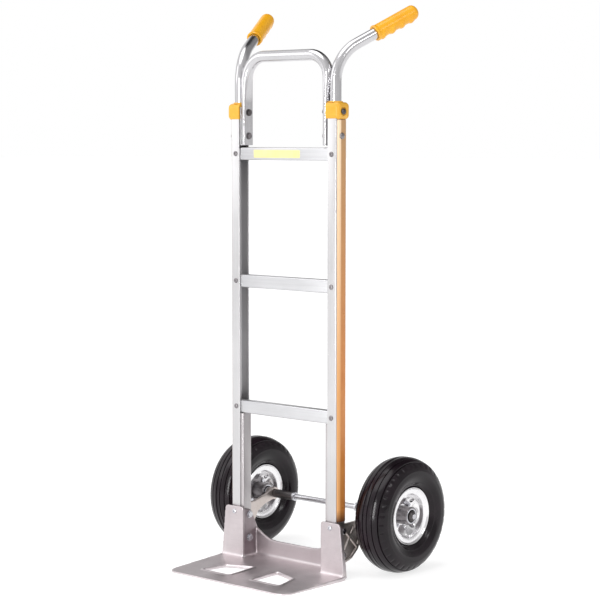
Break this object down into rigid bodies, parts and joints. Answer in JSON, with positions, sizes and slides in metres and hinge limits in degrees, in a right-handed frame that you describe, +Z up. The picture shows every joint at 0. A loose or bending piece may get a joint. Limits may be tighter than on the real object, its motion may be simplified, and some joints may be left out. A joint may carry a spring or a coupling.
{
  "type": "hand truck",
  "caption": "Upright aluminium hand truck with a loop handle, two angled grips, crossbars between channel uprights, a windowed nose plate and air-filled wheels on an axle.",
  "frame": {"origin": "on the floor, midway between the uprights and under their front plane; the nose plate rests on the floor there", "axes": "+X to the right as seen from the front, +Y to the back, +Z up along the uprights"},
  "size_m": [0.5172, 0.4652, 1.235],
  "materials": {
    "aluminium": "satin extruded and tube aluminium",
    "cast_aluminium": "cast, lightly brushed",
    "yellow_plastic": "moulded, semi-gloss",
    "orange_strip": "moulded strip, satin",
    "black_iron": "black coated steel sleeve",
    "zinc_steel": "bright zinc plated",
    "chrome_rim": "bright plated pressed steel",
    "tyre": "ribbed black rubber",
    "tube_rubber": "black rubber"
  },
  "bodies": {
    "frame": {"rail_left": "aluminium", "rail_stiffener_left": "aluminium", "handle_tube_left": "aluminium", "axle_bracket_left": "cast_aluminium", "axle_sleeve_left": "black_iron", "inner_washer_left": "zinc_steel", "axle_cap_left": "zinc_steel", "grip_left": "yellow_plastic", "handle_collar_left": "yellow_plastic", "side_strip_left": "orange_strip", "handle_bolt_upper_left": "zinc_steel", "handle_bolt_lower_left": "zinc_steel", "foot_bolt_high_left": "zinc_steel", "foot_bolt_low_left": "zinc_steel", "nose_screw_left": "zinc_steel", "rivet_top_left": "zinc_steel", "rivet_middle_left": "zinc_steel", "rivet_lower_left": "zinc_steel", "rail_right": "aluminium", "rail_stiffener_right": "aluminium", "handle_tube_right": "aluminium", "axle_bracket_right": "cast_aluminium", "axle_sleeve_right": "black_iron", "inner_washer_right": "zinc_steel", "axle_cap_right": "zinc_steel", "grip_right": "yellow_plastic", "handle_collar_right": "yellow_plastic", "side_strip_right": "orange_strip", "handle_bolt_upper_right": "zinc_steel", "handle_bolt_lower_right": "zinc_steel", "foot_bolt_high_right": "zinc_steel", "foot_bolt_low_right": "zinc_steel", "nose_screw_right": "zinc_steel", "rivet_top_right": "zinc_steel", "rivet_middle_right": "zinc_steel", "rivet_lower_right": "zinc_steel", "crossbar_top": "aluminium", "crossbar_middle": "aluminium", "crossbar_lower": "aluminium", "loop_handle": "aluminium", "nose_plate": "cast_aluminium", "axle": "zinc_steel"},
    "wheel_left": {"tyre_left": "tyre", "inner_tube_left": "tube_rubber", "rim_outer_left": "chrome_rim", "rim_inner_left": "chrome_rim", "hub_left": "zinc_steel", "bearing_inner_left": "zinc_steel", "bearing_outer_left": "zinc_steel"},
    "wheel_right": {"tyre_right": "tyre", "inner_tube_right": "tube_rubber", "rim_outer_right": "chrome_rim", "rim_inner_right": "chrome_rim", "hub_right": "zinc_steel", "bearing_inner_right": "zinc_steel", "bearing_outer_right": "zinc_steel"}
  },
  "joints": [
    {"name": "wheel_left_spin", "type": "hinge", "parent": "frame", "child": "wheel_left", "pos_m": [-0.2158, 0.1467, 0.127], "axis": [1, 0, 0], "continuous": true},
    {"name": "wheel_right_spin", "type": "hinge", "parent": "frame", "child": "wheel_right", "pos_m": [0.2158, 0.1467, 0.127], "axis": [1, 0, 0], "continuous": true}
  ]
}
